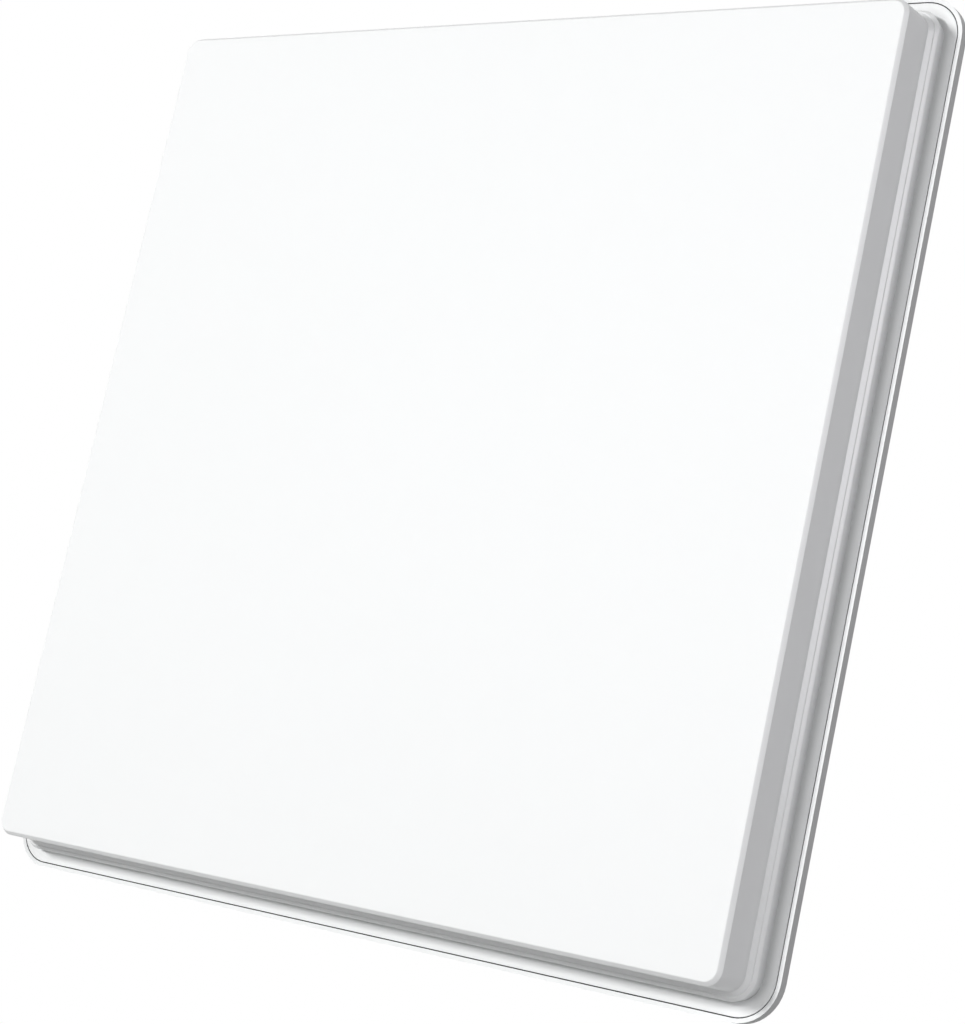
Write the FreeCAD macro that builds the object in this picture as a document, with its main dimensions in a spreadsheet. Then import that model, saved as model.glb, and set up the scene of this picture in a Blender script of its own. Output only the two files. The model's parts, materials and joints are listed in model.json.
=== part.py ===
"""Flat satellite antenna: a square horn array behind a moulded radome.

Frame, in millimetres: X to the right as the radome is faced, Y towards the rear, Z up.
The origin is the centre of the bracket's bolt pattern, on the plane of the rear pad.
A depth is measured back from the radome's front face, so Y = depth - total_depth.
"""
import FreeCAD, Part
import math
import os

import Sketcher
from FreeCAD import Vector

# Driving sizes, in millimetres and degrees
SIZES = {
    "overall_size": 548.0,  # width and height over the rim
    "rim_corner_radius": 24.0,  # plan corner of the rim; every other outline is concentric
    # radome
    "radome_wall": 2.5,
    "wall_draft": 0.65,  # degrees
    "step_depth": 26.6,  # face to the top of the stepped foot
    "step_width": 4.6,  # how far the foot stands out from the wall
    "facet": 2.2,  # 45 degree facets round the face and between wall and foot
    "step_round": 2.0,  # outer edge of the foot
    "foot_height": 8.4,  # top of the foot to the front of the flange
    "flange_thickness": 3.2,
    "flange_round": 1.2,  # fillet between foot and flange
    "ledge_width": 6.9,  # flange standing out from the foot
    "lip_gap": 0.6,  # shadow gap between flange and rim
    "rim_width": 2.3,
    # rear housing
    "housing_flange": 2.4,
    "housing_wall": 2.4,
    "tray_inset": 15.0,  # rim to the tray's side wall
    "tray_draft": 3.0,  # degrees
    "tray_round": 5.0,
    "pad_height": 2.0,
    "pad_size": 168.0,
    "pad_corner": 12.0,
    "bead_height": 1.2,  # one stiffening bead each side of the pad
    "bead_width": 60.0,
    "bead_corner": 10.0,
    "bead_length": 400.0,
    "bead_offset": 165.0,
    # clamping screws and seal round the rim
    "screws_per_side": 2,
    "screw_pitch": 268.0,
    "screw_inset": 6.4,  # rim to the screw line
    "screw_radius": 1.4,
    "screw_head_radius": 3.0,
    "screw_head_height": 2.2,
    "screw_grip": 2.2,  # length in the radome's flange
    "seal_width": 2.2,
    "seal_depth": 1.2,
    "seal_inset": 0.9,  # from the flange's inner edge to the groove
    # horn array and feed plates
    "foam_thickness": 2.0,  # between radome and horn plate
    "plate_clearance": 6.0,  # radome wall to plate edge
    "plate_margin": 7.1,  # plate edge to the outer horns' cells
    "horn_wall": 4.0,  # between the mouths of two horns
    "horn_throat": 20.0,
    "horn_depth": 16.0,
    "feed_thickness": 6.5,
    "channel_depth": 4.5,
    "channel_width": 16.0,
    "post_width": 5.0,  # tray posts that carry the plates
    "post_length": 60.0,
    "post_spacing": 240.0,
    "post_lap": 4.0,  # how far a post reaches under the plates
    "nib_height": 5.0,  # upstand beside the plates
    "nib_gap": 0.3,
    # converter box
    "lnb_width": 80.0,
    "lnb_top": 36.0,  # above the origin
    "lnb_wall": 5.0,
    "lnb_floor": 3.0,
    "lid_thickness": 2.4,
    "lid_seal_thickness": 0.8,
    "lid_clearance": 0.8,  # lid to the inside of the pad
    "port_height": 8.0,
    "gasket_thickness": 0.5,
    "gasket_margin": 8.0,
    "port_offset": 22.0,  # between the two waveguide ports
    "ear_length": 10.0,
    "ear_width": 14.0,
    "ear_thickness": 4.0,
    "ear_screw_radius": 1.5,
    "ear_head_radius": 2.8,
    "ear_head_height": 2.2,
    "ear_screw_grip": 5.0,
    "board_thickness": 1.6,
    "board_clearance": 1.5,
    "board_ledge": 3.0,  # step in the cavity that the board rests on
    "probe_width": 1.2,
    "probe_reach": 11.0,
    # coaxial output and its bay
    "thread_radius": 4.76,
    "hex_across": 11.0,
    "hex_thickness": 3.0,
    "stub_radius": 3.0,
    "socket_bore": 2.6,
    "contact_radius": 0.75,
    "contact_overlap": 4.0,  # length of the contact on the board
    "contact_recess": 1.8,  # from the socket's mouth
    "insulator_recess": 1.0,
    "relief_width": 1.0,
    "relief_depth": 0.45,
    "port_length": 11.0,  # threaded length below the nut
    "nut_across": 12.0,
    "nut_thickness": 3.5,
    "nut_clearance": 0.6,  # nut to the bay's floor
    "grommet_radius": 6.2,
    "grommet_length": 4.6,
    "grommet_clearance": 0.2,  # grommet to the tray's rear wall
    "bay_gap": 4.0,  # pad to bay
    "bay_width": 64.0,
    "bay_corner": 8.0,
    "bay_overlap": 0.7,  # share of the tray's wall that the bay's sides run into
    # bracket pad inserts
    "bracket_pitch": 120.0,
    "insert_radius": 4.5,
    "insert_bore": 3.0,
    "insert_length": 10.0,
    "boss_wall": 2.5,
    # all pieces
    "fit": 0.05,  # radial clearance of parts that fit in one another
}

# Sizes that follow from the driving ones
DERIVED = {
    "flange_depth": "step_depth + foot_height",  # face to the front of the flange
    "bay_floor": "flange_depth + flange_thickness + housing_flange",
    "output_depth": "bay_floor + nut_clearance + nut_across / 2",  # face to the axis of the output
    "tray_floor": "output_depth + grommet_radius + grommet_clearance",
    "total_depth": "tray_floor + housing_wall + pad_height",  # face to the bracket pad
    "bay_top": "pad_size / 2 + bay_gap",  # below the origin
    "lnb_bottom": "bay_top - housing_wall - grommet_length - hex_thickness",  # below the origin
}

doc = FreeCAD.newDocument("flat_antenna")
sheet = doc.addObject("Spreadsheet::Sheet", "dims")
cells = {**SIZES, **{alias: f"={formula}" for alias, formula in DERIVED.items()}}
for row, (alias, value) in enumerate(cells.items(), start=1):
    sheet.set(f"A{row}", alias)
    sheet.set(f"B{row}", str(value))
    sheet.setAlias(f"B{row}", alias)
doc.recompute()

# Half widths of the concentric outlines, from the rim inwards
RIM = "dims.overall_size / 2"
LIP = f"({RIM} - dims.rim_width)"
FLANGE = f"({LIP} - dims.lip_gap)"
FOOT = f"({FLANGE} - dims.ledge_width)"
WALL = f"({FOOT} - dims.step_width)"
TRAY = f"({RIM} - dims.tray_inset)"
SEAL_IN = f"({FOOT} - dims.radome_wall + dims.seal_inset)"
SEAL_OUT = f"({SEAL_IN} + dims.seal_width)"
PLATE = f"({WALL} - dims.radome_wall - dims.plate_clearance)"

# Depths, from the radome's face to the rear
SEAT = "(dims.flange_depth + dims.flange_thickness)"
FLANGE_REAR = "dims.bay_floor"
TRAY_FLOOR = "dims.tray_floor"
TRAY_REAR = "(dims.tray_floor + dims.housing_wall)"
PAD_FLOOR = "(dims.total_depth - dims.housing_wall)"
HORN_FRONT = "(dims.radome_wall + dims.foam_thickness)"
FEED_FRONT = f"({HORN_FRONT} + dims.horn_depth)"
FEED_SPLIT = f"({FEED_FRONT} + dims.feed_thickness)"
STACK_REAR = f"({FEED_SPLIT} + dims.feed_thickness)"
LNB_FRONT = f"({STACK_REAR} + dims.gasket_thickness)"
LID_REAR = f"({PAD_FLOOR} - dims.lid_clearance)"
LID_FRONT = f"({LID_REAR} - dims.lid_thickness)"
LNB_REAR = f"({LID_FRONT} - dims.lid_seal_thickness)"
BOARD_REAR = "(dims.output_depth - dims.contact_radius - dims.fit)"
BOARD_FRONT = f"({BOARD_REAR} - dims.board_thickness)"

QUARTERS = "4"
TOUCH = 1e-4


def size(expression):
    """The value of an expression on the sheet."""
    return float(sheet.evalExpression(expression))


def behind(depth):
    """The Y of a depth, as an expression."""
    return f"({depth}) - dims.total_depth"


# Sketch helpers: every size and place is an expression on the sheet

def new_body(label):
    body = doc.addObject("PartDesign::Body", label)
    body.Label = label
    return body


def origin_feature(body, role):
    return next(item for item in body.Origin.OriginFeatures if item.Role == role)


def sketch_on(body, role, offset):
    """A sketch on one of the body's origin planes; offset holds expressions for its x, y and z."""
    sketch = body.newObject("Sketcher::SketchObject", "Sketch")
    sketch.AttachmentSupport = (origin_feature(body, role), [""])
    sketch.MapMode = "FlatFace"
    for axis, expression in offset.items():
        sketch.setExpression(f".AttachmentOffset.Base.{axis}", expression)
    return sketch


def depth_sketch(body, depth):
    """A sketch facing the front, at a depth."""
    return sketch_on(body, "XZ_Plane", {"z": f"dims.total_depth - ({depth})"})


def bind(sketch, constraint, expression):
    index = sketch.addConstraint(constraint)
    sketch.setExpression(f"Constraints[{index}]", expression)


def hold_point(sketch, geometry, point, x, y):
    bind(sketch, Sketcher.Constraint("DistanceX", -1, 1, geometry, point, size(x)), x)
    bind(sketch, Sketcher.Constraint("DistanceY", -1, 1, geometry, point, size(y)), y)


def circle(sketch, x, y, radius):
    centre = Vector(size(x), size(y), 0)
    geometry = sketch.addGeometry(Part.Circle(centre, Vector(0, 0, 1), size(radius)))
    hold_point(sketch, geometry, 3, x, y)
    bind(sketch, Sketcher.Constraint("Radius", geometry, size(radius)), radius)


def polygon(sketch, corners):
    """A closed outline of straight sides through (x, y) expressions."""
    points = [Vector(size(x), size(y), 0) for x, y in corners]
    sides = []
    for start, end in zip(points, points[1:] + points[:1]):
        sides.append(sketch.addGeometry(Part.LineSegment(start, end)))
    for side, following in zip(sides, sides[1:] + sides[:1]):
        sketch.addConstraint(Sketcher.Constraint("Coincident", side, 2, following, 1))
    for side, (x, y) in zip(sides, corners):
        hold_point(sketch, side, 1, x, y)


def rectangle(sketch, left, right, bottom, top):
    polygon(sketch, [(left, bottom), (right, bottom), (right, top), (left, top)])


def rounded_rectangle(sketch, left, right, bottom, top, radius):
    """Four corner arcs, held by centre and radius, with sides tangent between them."""
    centres = [
        (f"{right} - ({radius})", f"{top} - ({radius})"),
        (f"{left} + ({radius})", f"{top} - ({radius})"),
        (f"{left} + ({radius})", f"{bottom} + ({radius})"),
        (f"{right} - ({radius})", f"{bottom} + ({radius})"),
    ]
    quarter = math.pi / 2
    arcs = []
    for turn, (x, y) in enumerate(centres):
        ring = Part.Circle(Vector(size(x), size(y), 0), Vector(0, 0, 1), size(radius))
        arc = Part.ArcOfCircle(ring, turn * quarter, (turn + 1) * quarter)
        arcs.append((sketch.addGeometry(arc), arc))
    for (index, arc), (following, next_arc) in zip(arcs, arcs[1:] + arcs[:1]):
        side = sketch.addGeometry(Part.LineSegment(arc.EndPoint, next_arc.StartPoint))
        sketch.addConstraint(Sketcher.Constraint("Tangent", index, 2, side, 1))
        sketch.addConstraint(Sketcher.Constraint("Tangent", side, 2, following, 1))
    for (index, arc), (x, y) in zip(arcs, centres):
        hold_point(sketch, index, 3, x, y)
        bind(sketch, Sketcher.Constraint("Radius", index, size(radius)), radius)


def corner_radius(half):
    """The corner radius of the outline that is concentric with the rim."""
    return f"(dims.rim_corner_radius - ({RIM} - ({half})))"


def square_outline(*halves):
    """Draws concentric rounded squares; two of them make a ring."""
    def draw(sketch):
        for half in halves:
            rounded_rectangle(sketch, f"-({half})", f"({half})", f"-({half})", f"({half})",
                              corner_radius(half))
    return draw


def plain_outline(outline, *places):
    """Draws one outline of the sketch helpers above with these expressions."""
    def draw(sketch):
        outline(sketch, *places)
    return draw


# Feature helpers

def finish_feature(body, feature, before, grows):
    """Makes a feature the body's tip, and makes sure that it added or removed material."""
    body.Tip = feature
    doc.recompute()
    if (feature.Shape.Volume > before + TOUCH) != grows:
        raise RuntimeError(f"{body.Label}: {feature.Name} did not change the solid as it should")
    return feature


def volume_of(body):
    return body.Tip.Shape.Volume if body.Tip else 0.0


def extrude(body, kind, draw, start, end, draft):
    """A Pad or Pocket between two depths; a draft narrows it towards its end."""
    before = volume_of(body)
    sketch = depth_sketch(body, start)
    draw(sketch)
    feature = body.newObject(f"PartDesign::{kind}", kind)
    feature.Profile = sketch
    forwards = size(end) < size(start)
    feature.Reversed = forwards == (kind == "Pocket")
    feature.setExpression("Length", f"abs(({end}) - ({start}))")
    if draft:
        feature.setExpression("TaperAngle", f"-({draft})")
    return finish_feature(body, feature, before, kind == "Pad")


def add(body, draw, start, end, draft=None):
    return extrude(body, "Pad", draw, start, end, draft)


def cut(body, draw, start, end, draft=None):
    return extrude(body, "Pocket", draw, start, end, draft)


def repeat(body, feature, *steps):
    """Repeats a feature: ("X_Axis", pitch, count) is a row and ("Y_Axis", count) a full ring."""
    before = volume_of(body)
    grows = feature.TypeId not in ("PartDesign::Pocket", "PartDesign::SubtractiveWedge")
    patterns = []
    for axis, *step in steps:
        direction = (origin_feature(body, axis), [""])
        if len(step) == 2:
            pitch, count = step
            pattern = doc.addObject("PartDesign::LinearPattern", "Row")
            pattern.Direction = direction
            pattern.setExpression("Length", f"({pitch}) * ({count} - 1)")
        else:
            count = step[0]
            pattern = doc.addObject("PartDesign::PolarPattern", "Ring")
            pattern.Axis = direction
            pattern.Angle = 360
        pattern.setExpression("Occurrences", count)
        patterns.append(pattern)
    whole = body.newObject("PartDesign::MultiTransform", "Repeat")
    whole.Originals = [feature]
    for pattern in patterns:
        body.addObject(pattern)
    whole.Transformations = patterns
    return finish_feature(body, whole, before, grows)


def dress(body, kind, edges, amount):
    """A Fillet or Chamfer on named edges of the body's tip."""
    base = body.Tip
    if not edges:
        raise RuntimeError(f"{body.Label}: no edges for {kind}")
    feature = body.newObject(f"PartDesign::{kind}", kind)
    feature.Base = (base, edges)
    feature.setExpression("Radius" if kind == "Fillet" else "Size", amount)
    body.Tip = feature
    doc.recompute()
    return feature


def edges_at(body, depth, half=None):
    """Names of the tip's edges at a depth, all of them or those of one concentric outline."""
    level = size(behind(depth))

    def chosen(edge):
        points = [edge.valueAt(edge.FirstParameter), edge.valueAt(edge.LastParameter)]
        points.append(edge.valueAt((edge.FirstParameter + edge.LastParameter) / 2))
        if any(abs(point.y - level) > TOUCH for point in points):
            return False
        if half is None:
            return True
        reach = size(half)
        core = reach - size(corner_radius(half))
        for point in points:
            across = max(abs(point.x) - core, 0)
            along = max(abs(point.z) - core, 0)
            if abs(math.hypot(across, along) - (reach - core)) > TOUCH:
                return False
        return True

    return [f"Edge{n}" for n, edge in enumerate(body.Tip.Shape.Edges, 1) if chosen(edge)]


def turn_about_y(body, x, z, outline):
    """A turned piece about an axis along Y through (x, z); its outline is (radius, depth) pairs."""
    sketch = sketch_on(body, "XY_Plane", {"x": x, "z": z})
    polygon(sketch, [(radius, behind(depth)) for radius, depth in outline])
    return revolve(body, sketch)


def turn_about_z(body, outline):
    """A turned piece about the body's own Z axis; its outline is (radius, height) pairs."""
    sketch = sketch_on(body, "XZ_Plane", {})
    polygon(sketch, outline)
    return revolve(body, sketch)


def revolve(body, sketch):
    feature = body.newObject("PartDesign::Revolution", "Revolution")
    feature.Profile = sketch
    feature.ReferenceAxis = (sketch, ["V_Axis"])
    feature.Angle = 360
    return finish_feature(body, feature, 0.0, True)


def screw_outline(head_radius, head_end, seat, shank_radius, tip):
    return [
        ("0", head_end),
        (head_radius, head_end),
        (head_radius, seat),
        (shank_radius, seat),
        (shank_radius, tip),
        ("0", tip),
    ]


def place(body, x, y, z):
    """Moves a body that is modelled about its own axis to its seat."""
    for axis, expression in (("x", x), ("y", y), ("z", z)):
        body.setExpression(f".Placement.Base.{axis}", expression)


# Shared places

SCREW_LINE = f"({RIM} - dims.screw_inset)"
FIRST_SCREW = "-dims.screw_pitch * (dims.screws_per_side - 1) / 2"
RIM_SCREWS = (("X_Axis", "dims.screw_pitch", "dims.screws_per_side"), ("Y_Axis", QUARTERS))
SCREW_HOLE = "(dims.screw_radius + dims.fit)"
SCREW_TIP = f"({SEAT} - dims.screw_grip)"

POST_IN = f"({PLATE} - dims.post_lap)"
NIB_IN = f"({PLATE} + dims.nib_gap)"
POST_OUT = f"({POST_IN} + dims.post_width)"
POSTS = (("X_Axis", "dims.post_spacing", "2"), ("Y_Axis", QUARTERS))

HORNS = "8"
HORN_PITCH = f"(2 * ({PLATE} - dims.plate_margin) / {HORNS})"
HORN_MOUTH = f"({HORN_PITCH} - dims.horn_wall)"
FIRST_HORN = f"-{HORN_PITCH} * ({HORNS} - 1) / 2"
HORN_GRID = (("X_Axis", HORN_PITCH, HORNS), ("Z_Axis", HORN_PITCH, HORNS))

INSERT_X = "(dims.bracket_pitch / 2)"
INSERT_FRONT = "(dims.total_depth - dims.insert_length)"
OUTPUT_Y = behind("dims.output_depth")
BAY_HALF = "(dims.bay_width / 2)"
BAY_LID = "(dims.bay_top - dims.housing_wall)"
NUT_TOP = "(dims.bay_top - dims.lnb_bottom)"
NUT_END = f"({NUT_TOP} + dims.nut_thickness)"
PORT_TOP = f"({NUT_END} + dims.relief_width)"
PORT_END = f"({PORT_TOP} + dims.port_length)"

LNB_HALF = "(dims.lnb_width / 2)"
CAVITY_HALF = f"({LNB_HALF} - dims.lnb_wall)"
CAVITY_BOTTOM = "(-dims.lnb_bottom + dims.lnb_wall)"
CAVITY_TOP = "(dims.lnb_top - dims.lnb_wall)"
CAVITY_FLOOR = f"({LNB_FRONT} + dims.lnb_floor)"
EAR_X = f"({LNB_HALF} + dims.ear_length / 2)"
EAR_REAR = f"({LNB_FRONT} + dims.ear_thickness)"
EAR_Z = "((dims.lnb_top - dims.lnb_bottom) / 2)"
EAR_TIP = f"({STACK_REAR} - dims.ear_screw_grip)"
EAR_SCREWS = [("X_Axis", f"{EAR_X} * 2", "2")]
PORTS = ("0", "dims.port_offset")


def make_radome():
    """Moulded front: faceted face, drafted wall, rounded foot, flange with blind screw holes."""
    body = new_body("radome")
    add(body, square_outline(FLANGE), SEAT, "dims.flange_depth")
    add(body, square_outline(FOOT), "dims.flange_depth", "dims.step_depth")
    add(body, square_outline(WALL), "dims.step_depth", "0", "dims.wall_draft")
    dress(body, "Chamfer", edges_at(body, "dims.step_depth", WALL), "dims.facet")
    dress(body, "Fillet", edges_at(body, "dims.step_depth", FOOT), "dims.step_round")
    dress(body, "Fillet", edges_at(body, "dims.flange_depth", FOOT), "dims.flange_round")
    dress(body, "Chamfer", edges_at(body, "0"), "dims.facet")
    cut(body, square_outline(f"({FOOT} - dims.radome_wall)"),
        SEAT, "dims.step_depth + dims.radome_wall")
    cut(body, square_outline(f"({WALL} - dims.radome_wall)"),
        "dims.step_depth + dims.radome_wall", "dims.radome_wall", "dims.wall_draft")
    hole = cut(body, plain_outline(circle, FIRST_SCREW, SCREW_LINE, SCREW_HOLE), SEAT, SCREW_TIP)
    repeat(body, hole, *RIM_SCREWS)
    return body


def make_rear_housing():
    """Moulded tray: rim and seal groove in front, standoffs inside, bracket pad and bay behind."""
    body = new_body("rear_housing")
    add(body, square_outline(RIM), FLANGE_REAR, "dims.flange_depth")
    add(body, square_outline(TRAY), FLANGE_REAR, TRAY_REAR, "dims.tray_draft")
    dress(body, "Fillet", edges_at(body, TRAY_REAR), "dims.tray_round")
    add(body, pad_outline("dims.pad_size / 2", "dims.pad_corner"), TRAY_REAR, "dims.total_depth")
    bead = add(body, plain_outline(
        rounded_rectangle,
        "dims.bead_offset - dims.bead_width / 2",
        "dims.bead_offset + dims.bead_width / 2",
        "-dims.bead_length / 2",
        "dims.bead_length / 2",
        "dims.bead_corner",
    ), TRAY_REAR, f"{TRAY_REAR} + dims.bead_height")
    repeat(body, bead, ("Y_Axis", "2"))
    hollow_tray(body)
    cut_connector_bay(body)
    cut_housing_holes(body)
    return body


def pad_outline(half, corner):
    return plain_outline(rounded_rectangle, f"-({half})", half, f"-({half})", half, corner)


def hollow_tray(body):
    """The radome's seat, the seal groove, the inside and the posts that stand in it."""
    cut(body, square_outline(LIP), "dims.flange_depth", SEAT)
    cut(body, square_outline(SEAL_OUT, SEAL_IN), SEAT, f"{SEAT} + dims.seal_depth")
    cut(body, square_outline(f"({TRAY} - dims.housing_wall)"), SEAT, TRAY_FLOOR, "dims.tray_draft")
    cut(body, pad_outline("dims.pad_size / 2 - dims.housing_wall", "dims.pad_corner - dims.housing_wall"),
        TRAY_FLOOR, PAD_FLOOR)
    post = add(body, post_outline(POST_IN, POST_OUT), TRAY_FLOOR, STACK_REAR)
    repeat(body, post, *POSTS)
    nib = add(body, post_outline(NIB_IN, POST_OUT), STACK_REAR, f"{STACK_REAR} - dims.nib_height")
    repeat(body, nib, *POSTS)
    rib = "(dims.insert_radius + dims.boss_wall)"
    boss = plain_outline(rectangle, f"{INSERT_X} - {rib}", f"{INSERT_X} + {rib}",
                         f"-({INSERT_X} + {rib})", f"{INSERT_X} + {rib}")
    repeat(body, add(body, boss, PAD_FLOOR, f"{INSERT_FRONT} - dims.housing_wall"), ("Y_Axis", "2"))


def post_outline(near, far):
    """One tray post along the upper side, left of the middle."""
    centre = "-dims.post_spacing / 2"
    return plain_outline(rectangle, f"{centre} - dims.post_length / 2",
                         f"{centre} + dims.post_length / 2", near, far)


def cut_connector_bay(body):
    """A walled bay, open to the rear and below, with the output through its top wall."""
    outside = f"({BAY_HALF} + dims.housing_wall)"
    add(body, plain_outline(rectangle, f"-{outside}", outside,
                            f"-({TRAY} - dims.housing_wall * dims.bay_overlap)", f"-{BAY_LID}"),
        TRAY_FLOOR, SEAT)
    cut(body, plain_outline(rounded_rectangle, f"-{BAY_HALF}", BAY_HALF,
                            f"-({RIM} + dims.bay_corner)", "-dims.bay_top", "dims.bay_corner"),
        "dims.total_depth", FLANGE_REAR)
    cut_output_hole(body, f"-{BAY_LID}", "dims.thread_radius + dims.fit", "dims.housing_wall", False)


def cut_output_hole(body, level, radius, length, upwards):
    """A round hole along Z on the output's axis, from a level on."""
    before = volume_of(body)
    sketch = sketch_on(body, "XY_Plane", {"z": level})
    circle(sketch, "0", OUTPUT_Y, radius)
    feature = body.newObject("PartDesign::Pocket", "Pocket")
    feature.Profile = sketch
    feature.Reversed = upwards
    feature.setExpression("Length", length)
    finish_feature(body, feature, before, False)


def cut_housing_holes(body):
    """Screw and insert holes."""
    hole = cut(body, plain_outline(circle, FIRST_SCREW, SCREW_LINE, SCREW_HOLE), SEAT, FLANGE_REAR)
    repeat(body, hole, *RIM_SCREWS)
    hole = cut(body, plain_outline(circle, INSERT_X, INSERT_X, "dims.insert_radius + dims.fit"),
               "dims.total_depth", INSERT_FRONT)
    repeat(body, hole, ("Y_Axis", QUARTERS))


def make_rim_seal():
    body = new_body("rim_seal")
    add(body, square_outline(f"({SEAL_OUT} - dims.fit)", f"({SEAL_IN} + dims.fit)"),
        f"{SEAT} + dims.seal_depth", SEAT)
    return body


def make_screws(label, x, z, outline, pattern):
    """One node of like screws, each a solid of its own."""
    body = new_body(label)
    repeat(body, turn_about_y(body, x, z, outline), *pattern)
    return body


def make_housing_screws():
    outline = screw_outline("dims.screw_head_radius", f"{FLANGE_REAR} + dims.screw_head_height",
                            FLANGE_REAR, "dims.screw_radius", f"{SCREW_TIP} + dims.fit")
    return make_screws("housing_screws", FIRST_SCREW, SCREW_LINE, outline, RIM_SCREWS)


# Horn array and feed plates

def plate_blank(label, front, rear):
    body = new_body(label)
    add(body, plain_outline(rectangle, f"-{PLATE}", PLATE, f"-{PLATE}", PLATE), rear, front)
    return body


def port_outline(x, height="dims.port_height"):
    """A waveguide port on the plate's middle line."""
    return plain_outline(rectangle, f"{x} - dims.channel_width / 2", f"{x} + dims.channel_width / 2",
                         f"-{height} / 2", f"{height} / 2")


def make_front_foam():
    """Foam sheet that fills the space between radome and horn plate and holds the plates down."""
    return plate_blank("front_foam", "dims.radome_wall", HORN_FRONT)


def make_horn_plate():
    """A square grid of pyramid horns, each a wedge that narrows from its mouth to its throat."""
    body = plate_blank("horn_plate", HORN_FRONT, FEED_FRONT)
    before = volume_of(body)
    horn = body.newObject("PartDesign::SubtractiveWedge", "Horn")
    ends = (("", HORN_MOUTH), ("2", "dims.horn_throat"))
    for end, width in ends:
        for axis in ("X", "Z"):
            horn.setExpression(f"{axis}{end}min", f"{FIRST_HORN} - {width} / 2")
            horn.setExpression(f"{axis}{end}max", f"{FIRST_HORN} + {width} / 2")
    horn.setExpression("Ymin", behind(HORN_FRONT))
    horn.setExpression("Ymax", behind(FEED_FRONT))
    finish_feature(body, horn, before, False)
    repeat(body, horn, *HORN_GRID)
    return body


def branch_outline(centre, reach, tip, turned):
    """One H of the feed tree: two arms at +-reach from its centre and a bar between them."""
    near = f"({reach} - dims.channel_width / 2)"
    far = f"({reach} + dims.channel_width / 2)"
    end = f"({reach} + {tip})"
    half = "dims.channel_width / 2"
    corners = [
        (f"-{far}", f"-{end}"), (f"-{near}", f"-{end}"), (f"-{near}", f"-{half}"),
        (near, f"-{half}"), (near, f"-{end}"), (far, f"-{end}"),
        (far, end), (near, end), (near, half),
        (f"-{near}", half), (f"-{near}", end), (f"-{far}", end),
    ]
    if turned:
        corners = [(along, across) for across, along in reversed(corners)]
    return plain_outline(polygon, [(f"{centre} + {x}", f"{centre} + {z}") for x, z in corners])


def cut_feed_tree(body, front, turned):
    """Three sizes of H, each twice the last, join all the horns to the plate's centre."""
    floor = f"{front} + dims.channel_depth"
    levels = (("1 / 2", "dims.channel_width / 2", "4"), ("1", "0", "2"), ("2", "0", "1"))
    for share, tip, count in levels:
        reach = f"({HORN_PITCH} * {share})"
        pitch = f"({reach} * 4)"
        first = f"-({pitch} * ({count} - 1) / 2)"
        branch = cut(body, branch_outline(first, reach, tip, turned), front, floor)
        if count != "1":
            repeat(body, branch, ("X_Axis", pitch, count), ("Z_Axis", pitch, count))


def make_feed_plate_front():
    """Feed tree of one polarisation, with a port as wide as its channel near the plate's centre."""
    body = plate_blank("feed_plate_front", FEED_FRONT, FEED_SPLIT)
    cut(body, port_outline("dims.port_offset", "dims.channel_width"), FEED_FRONT, FEED_SPLIT)
    cut_feed_tree(body, FEED_FRONT, False)
    return body


def make_feed_plate_rear():
    """Feed tree of the other polarisation, turned a quarter, with both ports to the converter."""
    body = plate_blank("feed_plate_rear", FEED_SPLIT, STACK_REAR)
    for port in PORTS:
        cut(body, port_outline(port), FEED_SPLIT, STACK_REAR)
    cut_feed_tree(body, FEED_SPLIT, True)
    bore_ear_holes(body, STACK_REAR, EAR_TIP)
    return body


def bore_ear_holes(body, start, end):
    hole = cut(body, plain_outline(circle, f"-{EAR_X}", EAR_Z, "dims.ear_screw_radius + dims.fit"),
               start, end)
    repeat(body, hole, *EAR_SCREWS)


# Converter

def lnb_outline(sketch):
    rectangle(sketch, f"-{LNB_HALF}", LNB_HALF, "-dims.lnb_bottom", "dims.lnb_top")


def cavity_outline(inset):
    """The inside of the box, stepped in by an inset."""
    return plain_outline(rectangle, f"-({CAVITY_HALF} - {inset})", f"{CAVITY_HALF} - {inset}",
                         f"{CAVITY_BOTTOM} + {inset}", f"{CAVITY_TOP} - {inset}")


def make_port_gasket():
    """Conductive gasket round both ports, between the rear feed plate and the converter."""
    body = new_body("port_gasket")
    left = "(dims.channel_width / 2 + dims.gasket_margin)"
    top = "(dims.port_height / 2 + dims.gasket_margin)"
    add(body, plain_outline(rectangle, f"-{left}", f"dims.port_offset + {left}", f"-{top}", top),
        LNB_FRONT, STACK_REAR)
    for port in PORTS:
        cut(body, port_outline(port), STACK_REAR, LNB_FRONT)
    return body


def make_lnb_body():
    """Cast box: waveguide ports in its floor, a ledge for the board, ears, and the output's hole."""
    body = new_body("lnb_body")
    add(body, lnb_outline, LNB_REAR, LNB_FRONT)
    end = f"({LNB_HALF} + dims.ear_length)"
    ear = add(body, plain_outline(rectangle, f"-{end}", f"-{LNB_HALF}", f"{EAR_Z} - dims.ear_width / 2",
                                  f"{EAR_Z} + dims.ear_width / 2"), EAR_REAR, STACK_REAR)
    repeat(body, ear, *EAR_SCREWS)
    cut(body, cavity_outline("0"), LNB_REAR, BOARD_FRONT)
    cut(body, cavity_outline("dims.board_ledge"), BOARD_FRONT, CAVITY_FLOOR)
    for port in PORTS:
        cut(body, port_outline(port), CAVITY_FLOOR, LNB_FRONT)
    bore_ear_holes(body, EAR_REAR, STACK_REAR)
    cut_output_hole(body, "-dims.lnb_bottom", "dims.stub_radius + dims.fit", "dims.lnb_wall", True)
    return body


def probe_outline(clearance):
    """The square section of the first launch probe."""
    half = f"(dims.probe_width / 2 + {clearance})"
    return plain_outline(rectangle, f"-{half}", half, f"-{half}", half)


def make_lnb_board():
    body = new_body("lnb_board")
    add(body, cavity_outline("dims.board_clearance"), BOARD_REAR, BOARD_FRONT)
    hole = cut(body, probe_outline("dims.fit"), BOARD_FRONT, BOARD_REAR)
    repeat(body, hole, ("X_Axis", "dims.port_offset", "2"))
    return body


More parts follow.
